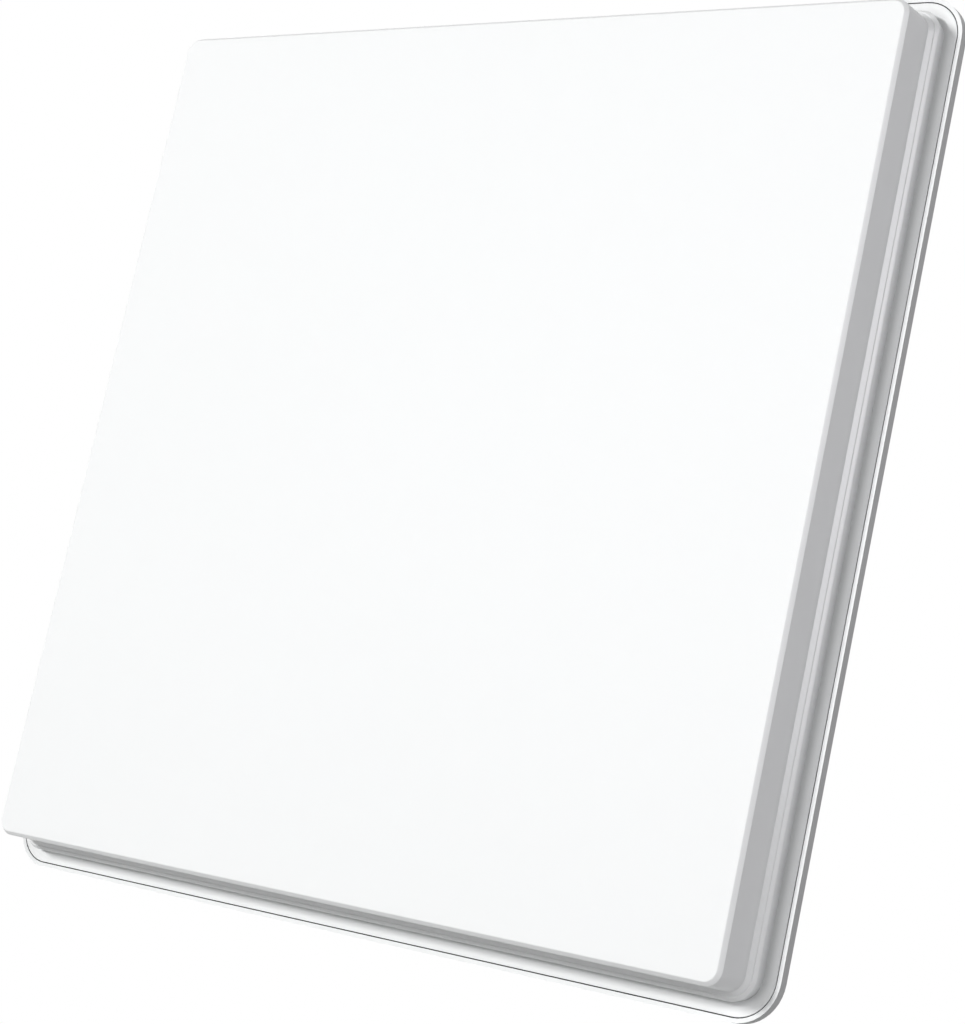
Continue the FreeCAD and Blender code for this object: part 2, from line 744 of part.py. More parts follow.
def make_launch_probes():
    """Two pins through the board, one reaching into each waveguide port."""
    body = new_body("launch_probes")
    pin = add(body, probe_outline("0"), BOARD_REAR, f"{BOARD_FRONT} - dims.probe_reach")
    repeat(body, pin, ("X_Axis", "dims.port_offset", "2"))
    return body


def make_lnb_lid_seal():
    body = new_body("lnb_lid_seal")
    add(body, lnb_outline, LID_FRONT, LNB_REAR)
    cut(body, cavity_outline("0"), LNB_REAR, LID_FRONT)
    return body


def make_lnb_lid():
    body = new_body("lnb_lid")
    add(body, lnb_outline, LID_REAR, LID_FRONT)
    return body


def make_lnb_screws():
    outline = screw_outline("dims.ear_head_radius", f"{EAR_REAR} + dims.ear_head_height",
                            EAR_REAR, "dims.ear_screw_radius", f"{EAR_TIP} + dims.fit")
    return make_screws("lnb_screws", f"-{EAR_X}", EAR_Z, outline, EAR_SCREWS)


# Coaxial output, modelled about its own Z axis from the converter's lower face down

def hexagon(sketch, across):
    radius = f"({across} / sqrt(3))"
    polygon(sketch, [(f"{radius} * cos({turn})", f"{radius} * sin({turn})") for turn in range(0, 360, 60)])


def add_hex_ring(body, across, bore, top, thickness):
    """A hexagonal ring that reaches down from a level."""
    before = volume_of(body)
    sketch = sketch_on(body, "XY_Plane", {"z": top})
    hexagon(sketch, across)
    circle(sketch, "0", "0", bore)
    feature = body.newObject("PartDesign::Pad", "Hexagon")
    feature.Profile = sketch
    feature.Reversed = True
    feature.setExpression("Length", thickness)
    finish_feature(body, feature, before, True)


def make_f_connector():
    """Threaded socket: stub in the converter's wall, hexagon, barrel with a relief under the port."""
    body = new_body("f_connector")
    relief = "(dims.thread_radius - dims.relief_depth)"
    turn_about_z(body, [
        ("dims.socket_bore", "dims.lnb_wall"), ("dims.stub_radius", "dims.lnb_wall"),
        ("dims.stub_radius", "0"), ("dims.thread_radius", "0"),
        ("dims.thread_radius", f"-{NUT_END}"), (relief, f"-{NUT_END}"),
        (relief, f"-{PORT_TOP}"), ("dims.thread_radius", f"-{PORT_TOP}"),
        ("dims.thread_radius", f"-{PORT_END}"), ("dims.socket_bore", f"-{PORT_END}"),
    ])
    add_hex_ring(body, "dims.hex_across", "(dims.socket_bore + dims.thread_radius) / 2",
                 "0", "dims.hex_thickness")
    return body


def make_tube(label, inner, outer, top, bottom):
    """A plain ring or tube about Z; an inner radius of 0 makes it a rod."""
    body = new_body(label)
    turn_about_z(body, [(inner, top), (outer, top), (outer, bottom), (inner, bottom)])
    return body


def make_nut():
    body = new_body("connector_nut")
    add_hex_ring(body, "dims.nut_across", "dims.thread_radius + dims.fit",
                 f"-{NUT_TOP}", "dims.nut_thickness")
    return body


def make_output():
    """The pieces of the output, seated one after another on its axis."""
    contact_hole = "dims.contact_radius + dims.fit"
    board_end = "dims.lnb_wall + dims.board_clearance + dims.contact_overlap"
    pieces = [
        make_f_connector(),
        make_tube("connector_insulator", contact_hole, "dims.socket_bore - dims.fit",
                  "dims.lnb_wall", f"-({PORT_END} - dims.insulator_recess)"),
        make_tube("connector_contact", "0", "dims.contact_radius",
                  board_end, f"-({PORT_END} - dims.contact_recess)"),
        make_tube("connector_seal", "dims.thread_radius + dims.fit", "dims.grommet_radius",
                  "-dims.hex_thickness", f"-({BAY_LID} - dims.lnb_bottom)"),
        make_nut(),
    ]
    for piece in pieces:
        place(piece, "0", OUTPUT_Y, "-dims.lnb_bottom")
    return pieces


def make_bracket_inserts():
    outline = [
        ("dims.insert_bore", INSERT_FRONT), ("dims.insert_radius", INSERT_FRONT),
        ("dims.insert_radius", "dims.total_depth"), ("dims.insert_bore", "dims.total_depth"),
    ]
    return make_screws("bracket_inserts", INSERT_X, INSERT_X, outline, [("Y_Axis", QUARTERS)])


def write_step_files(bodies):
    """Stops on any failed object, then writes one file for each piece."""
    doc.recompute()
    for item in doc.Objects:
        if "Invalid" in item.State or "Error" in item.State:
            raise RuntimeError(f"{item.Name} failed: {item.State}")
    for body in bodies:
        if body.Shape.isNull() or not body.Shape.isValid():
            raise RuntimeError(f"{body.Label} has no valid shape")
    os.makedirs("parts", exist_ok=True)
    for body in bodies:
        body.Shape.exportStep(os.path.join("parts", f"{body.Label}.step"))


write_step_files([
    make_radome(),
    make_rear_housing(),
    make_rim_seal(),
    make_housing_screws(),
    make_front_foam(),
    make_horn_plate(),
    make_feed_plate_front(),
    make_feed_plate_rear(),
    make_port_gasket(),
    make_lnb_body(),
    make_lnb_board(),
    make_launch_probes(),
    make_lnb_lid_seal(),
    make_lnb_lid(),
    make_lnb_screws(),
    *make_output(),
    make_bracket_inserts(),
])
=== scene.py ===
"""Flat satellite antenna, dressed for the picture.

Frame as in the solids: X to the right as the radome is faced, Y towards the rear, Z up.
Shapes are worked out in millimetres and stored in metres. A depth runs back from the radome's
face, and a half is half the width of one of the concentric rounded squares.
"""

import json
import math

import bmesh
import bpy
import numpy as np
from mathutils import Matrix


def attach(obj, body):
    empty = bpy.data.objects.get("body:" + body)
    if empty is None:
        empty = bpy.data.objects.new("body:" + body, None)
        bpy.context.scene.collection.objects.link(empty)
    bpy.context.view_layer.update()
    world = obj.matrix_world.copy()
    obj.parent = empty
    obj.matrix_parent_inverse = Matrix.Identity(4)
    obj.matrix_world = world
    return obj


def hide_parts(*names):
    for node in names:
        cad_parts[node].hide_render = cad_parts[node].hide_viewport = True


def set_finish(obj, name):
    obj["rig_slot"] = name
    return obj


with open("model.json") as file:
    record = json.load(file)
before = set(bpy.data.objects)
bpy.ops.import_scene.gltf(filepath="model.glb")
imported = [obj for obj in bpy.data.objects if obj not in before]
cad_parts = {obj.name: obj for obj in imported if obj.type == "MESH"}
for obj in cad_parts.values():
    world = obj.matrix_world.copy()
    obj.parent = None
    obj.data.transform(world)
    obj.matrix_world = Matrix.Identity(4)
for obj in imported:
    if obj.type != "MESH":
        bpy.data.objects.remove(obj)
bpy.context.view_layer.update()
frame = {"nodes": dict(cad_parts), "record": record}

MM = 0.001
TOTAL_DEPTH = 58.0
CORNER_CENTRE = 250.0  # every outline's corner arcs are centred on this square
CORNER_STEPS = 16
ROUND_STEPS = 8

# Radome, in millimetres
FACE_HALF = 259.3
WALL_HALF = 259.6
FOOT_HALF = 264.2
FLANGE_HALF = 271.1
STEP_DEPTH = 26.6
FLANGE_DEPTH = 35.0
SEAT_DEPTH = 38.2
RADOME_WALL = 2.5
FACET = 2.2
FACE_FACET = (2.0, 2.6)  # across and back
FOOT_FACET = 1.8
FOOT_SLANT = 1.6  # how far the foot draws in towards the flange
FLANGE_DISH = 1.8  # how far the flange falls towards the foot
FLAT_HALF = CORNER_CENTRE + 1  # the flat middle ends here
FLAT_RINGS = np.array([0.2, 0.4, 0.6, 0.8])  # shares of the flat middle's width

# Radii of the radome's edges, in millimetres
CRISP = 0.2
EASED = 0.5
SOFT = 1.0
FOOT_ROUND = 1.5

# Black bead in the gap between flange and rim, put there as painted shade to darken the gap, in
# millimetres
GAP_MIDDLE = 271.4
GAP_SHADE_BEAD = 0.29  # half its width
SHADE_BEAD_TOP = 35.5

# Tray
HOUSING_BEVEL = 0.35  # millimetres
HOUSING_SHARP = 35.0  # degrees between faces from which an edge is broken
HOUSING_FLAT = 0.5  # degrees up to which faces are one

# Rim screws, in millimetres
FLANGE_REAR = 40.6
SCREW_LINE = 267.6
SCREW_SIDE = 134.0
SCREW_COLUMNS = 72
HEAD_RADIUS = 3.0
HEAD_RIM = 1.2  # height at which the crown ends
SHANK_RADIUS = 1.4
SHANK_LENGTH = 4.4
LOBES = 6
LOBE_RADIUS = 1.35
LOBE_SWING = 0.13

# Output socket, in millimetres; lengths run down from the converter's lower face
OUTPUT_DEPTH = 47.2
CONVERTER_FOOT = -78.0  # Z of the converter's lower face
OUTPUT_COLUMNS = 60
SOCKET_ACROSS = 11.0
SOCKET_CORNER = 6.2  # the hexagon's corners are turned down to this radius
SOCKET_EASE = 0.97  # the hexagon's share left at its two ends
SOCKET_BORE = 2.6
STUB_RADIUS = 3.0
STUB_LENGTH = 5.0
HEXAGON_END = 3.0
BARREL_RADIUS = 4.76
BARREL_END = 25.5
BARREL_STEP = 0.1
BARREL_CHAMFER = 0.6
BARREL_PITCH = 0.794
BARREL_THREAD = 0.42
RELIEF = (13.4, 14.6)
RELIEF_RADIUS = 4.31
MOUTH_RADIUS = 2.85
MOUTH_CHAMFER = 0.3

# Nut on the socket, in millimetres
NUT_START = 10.0
NUT_END = 13.5
NUT_ACROSS = 12.0
NUT_CORNER = 5.9  # the radius of its cones at the ends
NUT_SLOPE = 1.7
NUT_EASE = np.array([0, 0.1, 0.25, 0.4, 0.6])
NUT_BORE = 4.81
NUT_MOUTH = 5.1
NUT_CHAMFER = 0.3

# Threaded inserts for the bracket, in millimetres
INSERT_AT = 60.0
INSERT_COLUMNS = 48
INSERT_LENGTH = 10.0
INSERT_BORE = 3.0
INSERT_RADIUS = 4.5
INSERT_PITCH = 1.0
INSERT_THREAD = 0.4
INSERT_STEP = 0.125
THREAD_START = 0.7


# Grids and meshes

def rounded_line(corners, steps):
    """A line through corners, each turned into an arc that touches both of its sides.

    A corner is (half, depth, radius). With a the half angle between its sides, the arc starts and
    ends at radius / tan(a) from the corner, and its centre is at radius / sin(a) on the bisector.
    """
    corners = np.array(corners, float)
    points = corners[:, :2]
    radius = corners[1:-1, 2:]
    back = points[:-2] - points[1:-1]
    onward = points[2:] - points[1:-1]
    back /= np.linalg.norm(back, axis=1, keepdims=True)
    onward /= np.linalg.norm(onward, axis=1, keepdims=True)
    half_angle = np.arccos(np.clip((back * onward).sum(1, keepdims=True), -1, 1)) / 2
    bisector = back + onward
    bisector /= np.linalg.norm(bisector, axis=1, keepdims=True)
    centre = points[1:-1] + bisector * radius / np.sin(half_angle)
    start = points[1:-1] + back * radius / np.tan(half_angle) - centre
    end = points[1:-1] + onward * radius / np.tan(half_angle) - centre
    first = np.arctan2(start[:, 1], start[:, 0])
    swing = np.arctan2(end[:, 1], end[:, 0]) - first
    swing = (swing + math.pi) % (2 * math.pi) - math.pi
    angle = first[:, None] + swing[:, None] * np.linspace(0, 1, steps + 1)
    arcs = centre[:, None] + radius[:, None] * np.stack([np.cos(angle), np.sin(angle)], -1)
    return np.vstack([points[:1], arcs.reshape(-1, 2), points[-1:]])


def round_square(halves):
    """Points of concentric rounded squares: corner centre + (half - centre distance) * direction.

    The direction turns through a quarter at each of the four corners, and the straight sides lie
    between the last point of a corner and the first of the next.
    """
    quarter = np.linspace(0, math.pi / 2, CORNER_STEPS + 1)
    angle = (np.arange(4)[:, None] * math.pi / 2 + quarter).ravel()
    corner = np.repeat(np.arange(4) * math.pi / 2 + math.pi / 4, len(quarter))
    centre = CORNER_CENTRE * math.sqrt(2) * np.stack([np.cos(corner), np.sin(corner)], -1)
    direction = np.stack([np.cos(angle), np.sin(angle)], -1)
    reach = np.asarray(halves, float)[:, None, None] - CORNER_CENTRE
    return centre[None] + reach * direction[None]


def depth_to_y(depth):
    """The rear of the part is at Y = 0."""
    return depth - TOTAL_DEPTH


def at_depths(plan, depth):
    """Rings of (x, z) as points in space, each ring at its own depth."""
    y = np.broadcast_to(depth_to_y(depth)[:, None], plan.shape[:2])
    return np.stack([plan[..., 0], y, plan[..., 1]], -1)


def grid_faces(rows, columns):
    """Quads of a grid whose last column joins its first."""
    row, column = np.meshgrid(np.arange(rows - 1), np.arange(columns), indexing="ij")
    here = row * columns + column
    beside = row * columns + (column + 1) % columns
    return np.stack([here, beside, beside + columns, here + columns], -1).reshape(-1, 4)


def pole_faces(pole, ring):
    """A fan of triangles from one point to a ring."""
    return np.stack([np.full(len(ring), pole), ring, np.roll(ring, -1)], -1)


def capped_grid(points):
    """Vertices and faces of a grid of rings, closed at each end by a fan to the ring's middle."""
    rows, columns, _ = points.shape
    flat = points.reshape(-1, 3)
    poles = points[[0, -1]].mean(1)
    first = np.arange(columns)
    last = first + (rows - 1) * columns
    faces = grid_faces(rows, columns).tolist()
    faces += pole_faces(len(flat), first).tolist()
    faces += pole_faces(len(flat) + 1, last).tolist()
    return np.vstack([flat, poles]), faces


def ring_grid(points):
    """Vertices and faces of a grid whose last ring joins its first, like a tyre."""
    rows, columns, _ = points.shape
    closed = grid_faces(rows + 1, columns) % (rows * columns)
    return points.reshape(-1, 3), closed.tolist()


def together(parts):
    """Several (vertices, faces) as one."""
    vertices = []
    faces = []
    count = 0
    for points, polygons in parts:
        vertices.append(points)
        faces += [[index + count for index in polygon] for polygon in polygons]
        count += len(points)
    return np.vstack(vertices), faces


def make_piece(name, shape, sharp_degrees, replaced, slot):
    """A closed piece from millimetre points: outward faces, smooth except at sharp edges."""
    points, faces = shape
    mesh = bpy.data.meshes.new(name)
    mesh.from_pydata((points * MM).tolist(), [], faces)
    work = bmesh.new()
    work.from_mesh(mesh)
    bmesh.ops.remove_doubles(work, verts=work.verts, dist=1e-7)
    bmesh.ops.recalc_face_normals(work, faces=work.faces)
    work.to_mesh(mesh)
    work.free()
    return show_mesh(name, mesh, sharp_degrees, replaced, slot)


def show_mesh(name, mesh, sharp_degrees, replaced, slot):
    """Puts a mesh in the scene as a piece that rides on the part and may stand for a CAD node."""
    mesh.shade_smooth()
    mesh.set_sharp_from_angle(angle=math.radians(sharp_degrees))
    piece = bpy.data.objects.new(name, mesh)
    bpy.context.scene.collection.objects.link(piece)
    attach(piece, "root")
    if replaced:
        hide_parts(replaced)
    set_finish(piece, slot)
    return piece


# Pieces

def dished_flange():
    """Section corners of the flange: it falls towards the foot by dish * (1 - share across) ^ 2."""
    inner = FOOT_HALF - FOOT_SLANT
    share = np.linspace(0, 1, ROUND_STEPS + 1)
    half = inner + (FLANGE_HALF - inner) * share
    depth = FLANGE_DEPTH + FLANGE_DISH * (1 - share) ** 2
    edge = np.zeros(len(share))
    edge[-1] = CRISP
    return np.stack([half, depth, edge], -1).tolist()


def radome_shape():
    """The radome's section carried round its rounded square, with flat middles front and rear."""
    section = rounded_line([
        (FLAT_HALF, 0, 0),
        (FACE_HALF - FACE_FACET[0], 0, SOFT),
        (FACE_HALF, FACE_FACET[1], EASED),
        (WALL_HALF, STEP_DEPTH - FACET, EASED),
        (WALL_HALF + FACET, STEP_DEPTH, CRISP),
        (FOOT_HALF - FOOT_FACET, STEP_DEPTH, CRISP),
        (FOOT_HALF, STEP_DEPTH + FOOT_FACET, FOOT_ROUND),
        *dished_flange(),
        (FLANGE_HALF, SEAT_DEPTH, CRISP),
        (FOOT_HALF - RADOME_WALL, SEAT_DEPTH, CRISP),
        (FOOT_HALF - RADOME_WALL, STEP_DEPTH + RADOME_WALL, EASED),
        (WALL_HALF - RADOME_WALL, STEP_DEPTH + RADOME_WALL, EASED),
        (FACE_HALF - RADOME_WALL, RADOME_WALL, SOFT),
        (FLAT_HALF, RADOME_WALL, 0),
    ], ROUND_STEPS)
    outline = round_square(section[:, 0])
    front = outline[:1] * FLAT_RINGS[:, None, None]
    rear = outline[-1:] * FLAT_RINGS[::-1, None, None]
    front_depth = np.zeros(len(FLAT_RINGS))
    rear_depth = np.full(len(FLAT_RINGS), RADOME_WALL)
    plan = np.concatenate([front, outline, rear])
    depth = np.concatenate([front_depth, section[:, 1], rear_depth])
    return capped_grid(at_depths(plan, depth))


def gap_shade_bead_shape():
    """A black rubber bead at the bottom of the gap round the flange, a dark piece that stands in for the
    gap's shade: a round-topped strip carried round.
    """
    turn = np.linspace(0, math.pi, ROUND_STEPS + 1)
    half = GAP_MIDDLE + GAP_SHADE_BEAD * np.concatenate([np.cos(turn), [-1, 1]])
    top = SHADE_BEAD_TOP + GAP_SHADE_BEAD * (1 - np.sin(turn))
    depth = np.concatenate([top, [SEAT_DEPTH, SEAT_DEPTH]])
    return ring_grid(at_depths(round_square(half), depth))


def turned(radius, level):
    """Rings about an axis: (radius * cos, radius * sin, level), the radius by row and angle."""
    columns = radius.shape[1]
    angle = np.arange(columns) * 2 * math.pi / columns
    level = np.broadcast_to(level[:, None], radius.shape)
    return np.stack([radius * np.cos(angle), radius * np.sin(angle), level], -1)


def plain_rows(radii, columns):
    """Rows of constant radius."""
    return np.repeat(np.asarray(radii, float)[:, None], columns, axis=1)


def along_y(points, x, depth, z):
    """Moves rings turned about their own axis to an axis along Y, with the level towards the rear."""
    return np.stack([points[..., 0] + x, points[..., 2] + depth_to_y(depth), points[..., 1] + z], -1)


def along_z(points):
    """Moves rings to the output's axis, with the level downwards from the converter's lower face."""
    y = points[..., 1] + depth_to_y(OUTPUT_DEPTH)
    return np.stack([points[..., 0], y, CONVERTER_FOOT - points[..., 2]], -1)


def rim_screw_rings():
    """A pan head with a six-lobed socket, on a short shank.

    The socket's wall is at radius * (1 + swing * cos 6t). The head's crown falls from the socket to
    the rim as a superellipse, height = rim + (1 - s^4)^(1/3), with s the share of the way out.
    """
    angle = np.arange(SCREW_COLUMNS) * 2 * math.pi / SCREW_COLUMNS
    lobe = LOBE_RADIUS * (1 + LOBE_SWING * np.cos(LOBES * angle))
    share = np.linspace(0, 1, ROUND_STEPS + 1)[1:]
    crown_radius = lobe + (HEAD_RADIUS - lobe) * share[:, None]
    crown_height = HEAD_RIM + np.maximum(1 - share ** 4, 0) ** (1 / 3)
    socket_share = np.array([0.4, 0.94, 0.97, 1.02])
    socket_height = [0.7, 0.75, 2.1, 2.2]
    under_radius = [HEAD_RADIUS, HEAD_RADIUS - 0.1, SHANK_RADIUS, SHANK_RADIUS]
    under_height = [0.12, 0.0, 0.0, -SHANK_LENGTH]
    socket_rows = lobe * socket_share[:, None]
    rows = np.vstack([socket_rows, crown_radius, plain_rows(under_radius, SCREW_COLUMNS)])
    return turned(rows, np.concatenate([socket_height, crown_height, under_height]))


def rim_screws_shape():
    """The same screw at each place on the four sides."""
    rings = rim_screw_rings()
    places = [
        (along * SCREW_SIDE, side * SCREW_LINE) for along in (-1, 1) for side in (-1, 1)
    ]
    places += [(z, x) for x, z in places]
    return together([capped_grid(along_y(rings, x, FLANGE_REAR, z)) for x, z in places])


def thread(level, columns, pitch, height):
    """Depth of a V thread: height * |2 f - 1|, with f the fraction of level / pitch + angle / turn."""
    turn = np.arange(columns) / columns
    phase = (level[:, None] / pitch + turn[None]) % 1
    return height * np.abs(2 * phase - 1)


def hexagon_radius(across, columns):
    """Distance to a hexagon's side: (across / 2) / cos(angle from the side's middle)."""
    angle = np.arange(columns) * 2 * math.pi / columns
    return across / 2 / np.cos((angle % (math.pi / 3)) - math.pi / 6)


def socket_shape():
    """The coaxial socket: stub, hexagon, threaded barrel with a relief, chamfered mouth and bore.

    The barrel's radius is the less of the thread, or the relief's radius between its two ends, and
    a chamfer that takes off as much as is past its start.
    """
    hexagon = np.minimum(hexagon_radius(SOCKET_ACROSS, OUTPUT_COLUMNS), SOCKET_CORNER)
    eased = hexagon * SOCKET_EASE
    barrel = np.arange(HEXAGON_END + 0.02, BARREL_END, BARREL_STEP)
    cut = thread(barrel, OUTPUT_COLUMNS, BARREL_PITCH, BARREL_THREAD)
    relief = ((barrel > RELIEF[0]) & (barrel < RELIEF[1]))[:, None]
    chamfer = np.maximum(barrel - (BARREL_END - BARREL_CHAMFER), 0)[:, None]
    screw = np.where(relief, RELIEF_RADIUS, BARREL_RADIUS - cut)
    screw = np.minimum(screw, BARREL_RADIUS - chamfer)
    stub = plain_rows([SOCKET_BORE, STUB_RADIUS, STUB_RADIUS], OUTPUT_COLUMNS)
    mouth = plain_rows([MOUTH_RADIUS, SOCKET_BORE], OUTPUT_COLUMNS)
    rows = np.vstack([stub, eased, hexagon, hexagon, eased, screw, mouth])
    stub_level = [-STUB_LENGTH, -STUB_LENGTH, 0.0]
    hexagon_level = [0.0, 0.2, HEXAGON_END - 0.2, HEXAGON_END]
    mouth_level = [BARREL_END, BARREL_END - MOUTH_CHAMFER]
    level = np.concatenate([stub_level, hexagon_level, barrel, mouth_level])
    return ring_grid(along_z(turned(rows, level)))


def nut_shape():
    """A hexagon cut back by a cone at each end: min(hexagon, corner + slope * distance from the end)."""
    level = np.concatenate([NUT_START + NUT_EASE, NUT_END - NUT_EASE[::-1]])
    cone = NUT_CORNER + NUT_SLOPE * np.minimum(level - NUT_START, NUT_END - level)
    outside = np.minimum(hexagon_radius(NUT_ACROSS, OUTPUT_COLUMNS)[None], cone[:, None])
    mouth = plain_rows([NUT_BORE, NUT_MOUTH], OUTPUT_COLUMNS)
    rows = np.vstack([mouth, outside, mouth[::-1]])
    first = [NUT_START + NUT_CHAMFER, NUT_START]
    last = [NUT_END, NUT_END - NUT_CHAMFER]
    return ring_grid(along_z(turned(rows, np.concatenate([first, level, last]))))


def insert_rings():
    """A threaded bush: its level runs up to 0 at the mouth, with a chamfer and an inner thread."""
    bore = np.arange(-INSERT_LENGTH, -THREAD_START, INSERT_STEP)
    inner = INSERT_BORE + thread(bore, INSERT_COLUMNS, INSERT_PITCH, INSERT_THREAD)
    radius = [INSERT_BORE, INSERT_BORE + 0.5, INSERT_RADIUS - 0.15, INSERT_RADIUS, INSERT_RADIUS]
    level = [-0.5, -0.05, -0.05, -0.2, -INSERT_LENGTH]
    rows = np.vstack([inner, plain_rows(radius, INSERT_COLUMNS)])
    return turned(rows, np.concatenate([bore, level]))


def inserts_shape():
    """The same insert at the four corners of the bracket's square."""
    rings = insert_rings()
    places = [(x * INSERT_AT, z * INSERT_AT) for x in (-1, 1) for z in (-1, 1)]
    return together([ring_grid(along_y(rings, x, TOTAL_DEPTH, z)) for x, z in places])


def housing_piece():
    """The tray with its moulded edges broken: its own solid, joined up and given a fine bevel."""
    mesh = frame["nodes"]["rear_housing"].data.copy()
    mesh.name = "housing_moulding"
    work = bmesh.new()
    work.from_mesh(mesh)
    bmesh.ops.remove_doubles(work, verts=work.verts, dist=1e-6)
    flat = math.radians(HOUSING_FLAT)
    bmesh.ops.dissolve_limit(work, angle_limit=flat, verts=work.verts, edges=work.edges)
    work.to_mesh(mesh)
    work.free()
    piece = show_mesh("housing_moulding", mesh, HOUSING_SHARP, "rear_housing", "housing_plastic")
    bevel = piece.modifiers.new("broken_edges", "BEVEL")
    bevel.width = HOUSING_BEVEL * MM
    bevel.segments = 2
    bevel.limit_method = "ANGLE"
    bevel.angle_limit = math.radians(HOUSING_SHARP)
    even = piece.modifiers.new("flat_faces", "WEIGHTED_NORMAL")
    even.weight = 100
    even.keep_sharp = True
    return piece


# Finishes

NOISE_RANGE = (0.3, 0.7)  # where most of a noise lies
# Painted shade in inside corners: how far the ambient occlusion looks, where it is darkest, and how much
# colour the under side keeps.
CREASE_REACH = 6.0  # millimetres
CREASE_OPEN = 0.4  # the open share at which a crease is darkest
CREASE_UNDER = 0.93  # the share of colour left in creases on the under side
GRAIN_STRENGTH = 0.35


def new_material(name):
    """A material with its nodes and links."""
    material = bpy.data.materials.new(name)
    material.use_nodes = True
    return material, material.node_tree.nodes, material.node_tree.links


def add_noise(nodes, links, place, scale, detail, roughness):
    """Noise at a place, with the scale in features per metre."""
    noise = nodes.new("ShaderNodeTexNoise")
    noise.inputs["Scale"].default_value = scale
    noise.inputs["Detail"].default_value = detail
    noise.inputs["Roughness"].default_value = roughness
    links.new(place, noise.inputs["Vector"])
    return noise.outputs["Fac"]


def add_range(nodes, links, value, start, end, low, high):
    """A value between start and end spread over low to high."""
    spread = nodes.new("ShaderNodeMapRange")
    spread.inputs["From Min"].default_value = start
    spread.inputs["From Max"].default_value = end
    spread.inputs["To Min"].default_value = low
    spread.inputs["To Max"].default_value = high
    links.new(value, spread.inputs["Value"])
    return spread


def add_two_tones(nodes, links, value, dark, light):
    """A noise as a colour between dark and light."""
    ramp = nodes.new("ShaderNodeValToRGB")
    for element, position, colour in zip(ramp.color_ramp.elements, NOISE_RANGE, (dark, light)):
        element.position = position
        element.color = (*colour, 1)
    links.new(value, ramp.inputs["Fac"])
    return ramp.outputs["Color"]


def add_by_facing(nodes, links, start, end, sideways, lengthways):
    """A value that depends on whether a surface faces a side, or the front or rear."""
    parts = nodes.new("ShaderNodeSeparateXYZ")
    links.new(nodes.new("ShaderNodeTexCoord").outputs["Normal"], parts.inputs["Vector"])
    along = nodes.new("ShaderNodeMath")
    along.operation = "ABSOLUTE"
    links.new(parts.outputs["Y"], along.inputs[0])
    facing = add_range(nodes, links, along.outputs[0], start, end, sideways, lengthways)
    return facing.outputs["Result"]


def add_math(nodes, links, operation, one, other):
    """Two values added, multiplied or compared."""
    result = nodes.new("ShaderNodeMath")
    result.operation = operation
    links.new(one, result.inputs[0])
    links.new(other, result.inputs[1])
    return result.outputs[0]


def add_scaled(nodes, links, colour, share):
    """A share of a colour."""
    scaled = nodes.new("ShaderNodeVectorMath")
    scaled.operation = "SCALE"
    links.new(colour, scaled.inputs[0])
    links.new(share, scaled.inputs["Scale"])
    return scaled.outputs["Vector"]


def add_painted_crease_shade(nodes, links, place, colour, least):
    """Paints shade into a colour towards inside corners, where the ambient occlusion finds near
    surfaces; the under side is darkened less.
    """
    parts = nodes.new("ShaderNodeSeparateXYZ")
    links.new(place, parts.inputs["Vector"])
    foot = -FOOT_HALF * MM
    wall = -WALL_HALF * MM
    under = add_range(nodes, links, parts.outputs["Z"], foot, wall, CREASE_UNDER, least)
    shade = nodes.new("ShaderNodeAmbientOcclusion")
    shade.samples = 8
    shade.inputs["Distance"].default_value = CREASE_REACH * MM
    share = add_range(nodes, links, shade.outputs["AO"], CREASE_OPEN, 1.0, 0.0, 1.0)
    links.new(under.outputs["Result"], share.inputs["To Min"])
    return add_scaled(nodes, links, colour, share.outputs["Result"])


def grained_finish(name, dark, light, rough, grain, depth, cloud=9.0, metallic=0.0, dull=0.0, crease_shade=1.0,
                   side_shade=1.0):
    """A moulded, cast or turned surface: slow cloudy tone, uneven gloss and a fine grain.

    The grain and the cloud are in features per metre, and the depth of the grain in millimetres.
    dull is added to the roughness of the front and rear; the crease and side shares are the
    colour left as painted shade in inside corners and on what faces a side.
    """
    material, nodes, links = new_material(name)
    shader = nodes["Principled BSDF"]
    shader.inputs["Metallic"].default_value = metallic
    place = nodes.new("ShaderNodeTexCoord").outputs["Object"]
    tone = add_noise(nodes, links, place, cloud, detail=4.0, roughness=0.55)
    colour = add_two_tones(nodes, links, tone, dark, light)
    # Painted shade: the colour is darkened in inside corners and on surfaces that face a side.
    if crease_shade < 1:
        colour = add_painted_crease_shade(nodes, links, place, colour, crease_shade)
    if side_shade < 1:
        share = add_by_facing(nodes, links, start=0.3, end=0.6, sideways=side_shade, lengthways=1.0)
        colour = add_scaled(nodes, links, colour, share)
    links.new(colour, shader.inputs["Base Color"])
    uneven = add_noise(nodes, links, place, cloud * 6, detail=3.0, roughness=0.6)
    gloss = add_range(nodes, links, uneven, *NOISE_RANGE, *rough).outputs["Result"]
    if dull:
        front = add_by_facing(nodes, links, start=0.93, end=0.99, sideways=0.0, lengthways=dull)
        gloss = add_math(nodes, links, "ADD", gloss, front)
    links.new(gloss, shader.inputs["Roughness"])
    bump = nodes.new("ShaderNodeBump")
    bump.inputs["Strength"].default_value = GRAIN_STRENGTH
    bump.inputs["Distance"].default_value = depth * MM
    height = add_noise(nodes, links, place, grain, detail=2.0, roughness=0.5)
    links.new(height, bump.inputs["Height"])
    links.new(bump.outputs["Normal"], shader.inputs["Normal"])
    return material


